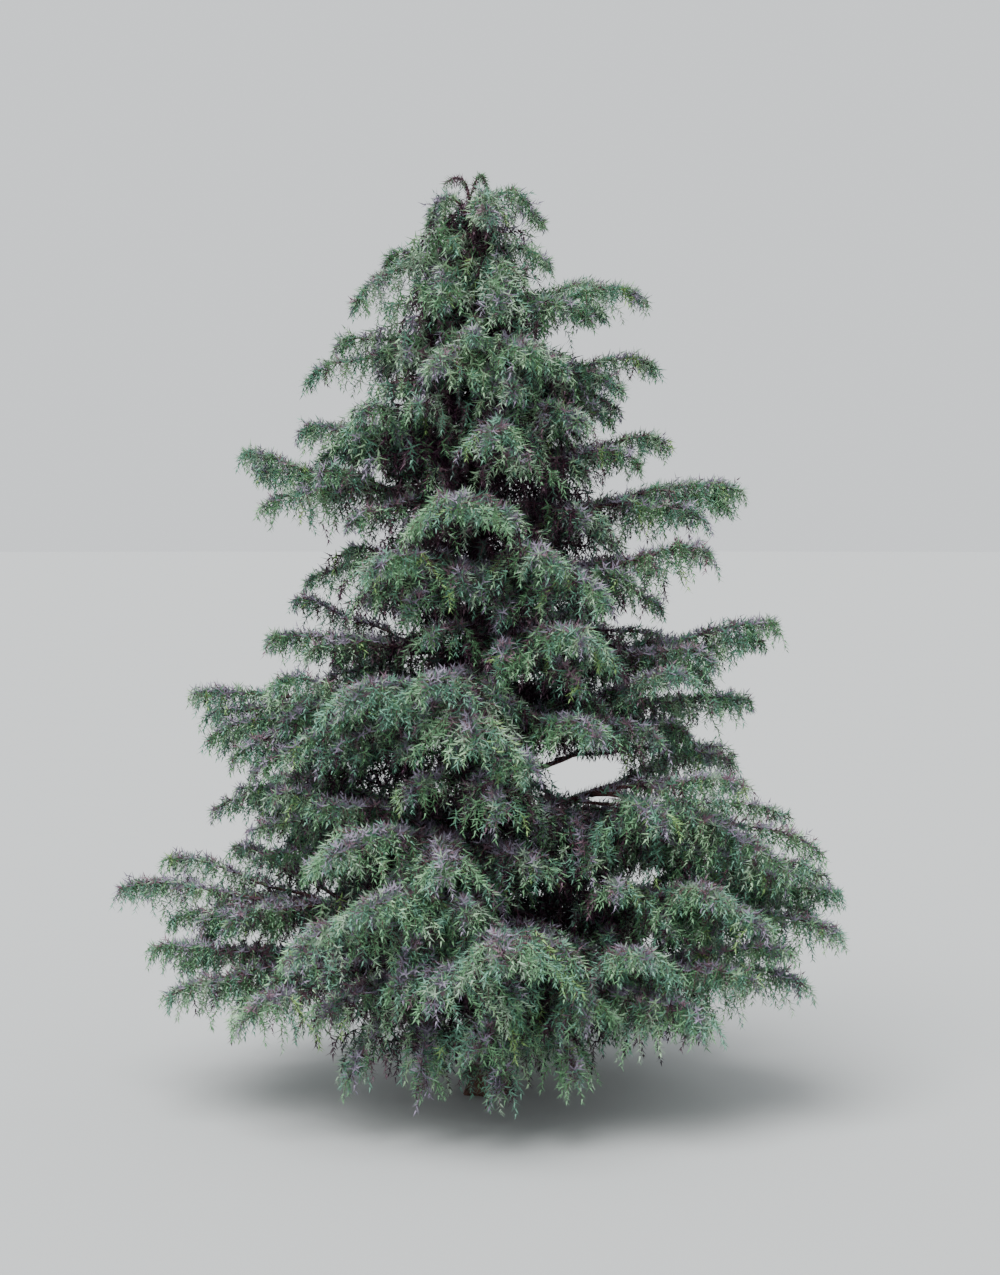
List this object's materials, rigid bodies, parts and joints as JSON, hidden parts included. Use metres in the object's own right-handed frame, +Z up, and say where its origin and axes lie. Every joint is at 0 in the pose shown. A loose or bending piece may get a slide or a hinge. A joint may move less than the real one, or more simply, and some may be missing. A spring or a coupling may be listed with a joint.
{
  "type": "japanese cedar tree",
  "caption": "Young Japanese cedar with a straight trunk, upswept boughs and drooping tiers of fine needle sprays in green and mauve.",
  "frame": {"origin": "centre of the flat cut under the trunk, at ground level", "axes": "+Z up along the trunk, +X to the right of the side seen in the picture, +Y to the back"},
  "size_m": [1.9169, 1.7391, 2.4325],
  "materials": {
    "bark": "rough fibrous bark",
    "twig_bark": "matt bark",
    "needles": "matt with a faint sheen"
  },
  "bodies": {
    "root": {"trunk": "bark", "bough_wing_left": "twig_bark", "bough_wing_right": "twig_bark", "bough_middle_right": "twig_bark", "bough_broad_left": "twig_bark", "bough_lap_back_right": "twig_bark", "bough_hip_right": "twig_bark", "bough_skirt_left": "twig_bark", "bough_skirt_front": "twig_bark", "bough_skirt_right": "twig_bark", "bough_back_3": "twig_bark", "foliage_top_right": "needles", "foliage_top_left": "needles", "foliage_shoulder_left": "needles", "foliage_shoulder_right": "needles", "foliage_high_right": "needles", "foliage_high_left": "needles", "foliage_high_front": "needles", "foliage_upper_right": "needles", "foliage_upper_left": "needles", "foliage_upper_front": "needles", "foliage_brow_right": "needles", "foliage_wing_left": "needles", "foliage_wing_right": "needles", "foliage_wing_low_right": "needles", "foliage_chest_front": "needles", "foliage_chest_right": "needles", "foliage_chest_left": "needles", "foliage_middle_left": "needles", "foliage_middle_right": "needles", "foliage_middle_front": "needles", "foliage_broad_left": "needles", "foliage_waist_left": "needles", "foliage_waist_front": "needles", "foliage_waist_right": "needles", "foliage_waist_front_right": "needles", "foliage_lap_front": "needles", "foliage_lap_back_left": "needles", "foliage_lap_back_right": "needles", "foliage_hip_right": "needles", "foliage_hip_front": "needles", "foliage_skirt_left": "needles", "foliage_hem_left": "needles", "foliage_skirt_front_left": "needles", "foliage_skirt_front": "needles", "foliage_skirt_right": "needles", "foliage_hem_right": "needles", "foliage_back_1": "needles", "foliage_back_2": "needles", "foliage_back_3": "needles", "foliage_back_4": "needles", "foliage_back_5": "needles", "foliage_back_6": "needles", "foliage_back_7": "needles", "foliage_back_8": "needles", "foliage_back_9": "needles", "foliage_back_10": "needles", "foliage_back_11": "needles", "foliage_back_12": "needles", "foliage_leader": "needles"}
  },
  "joints": []
}
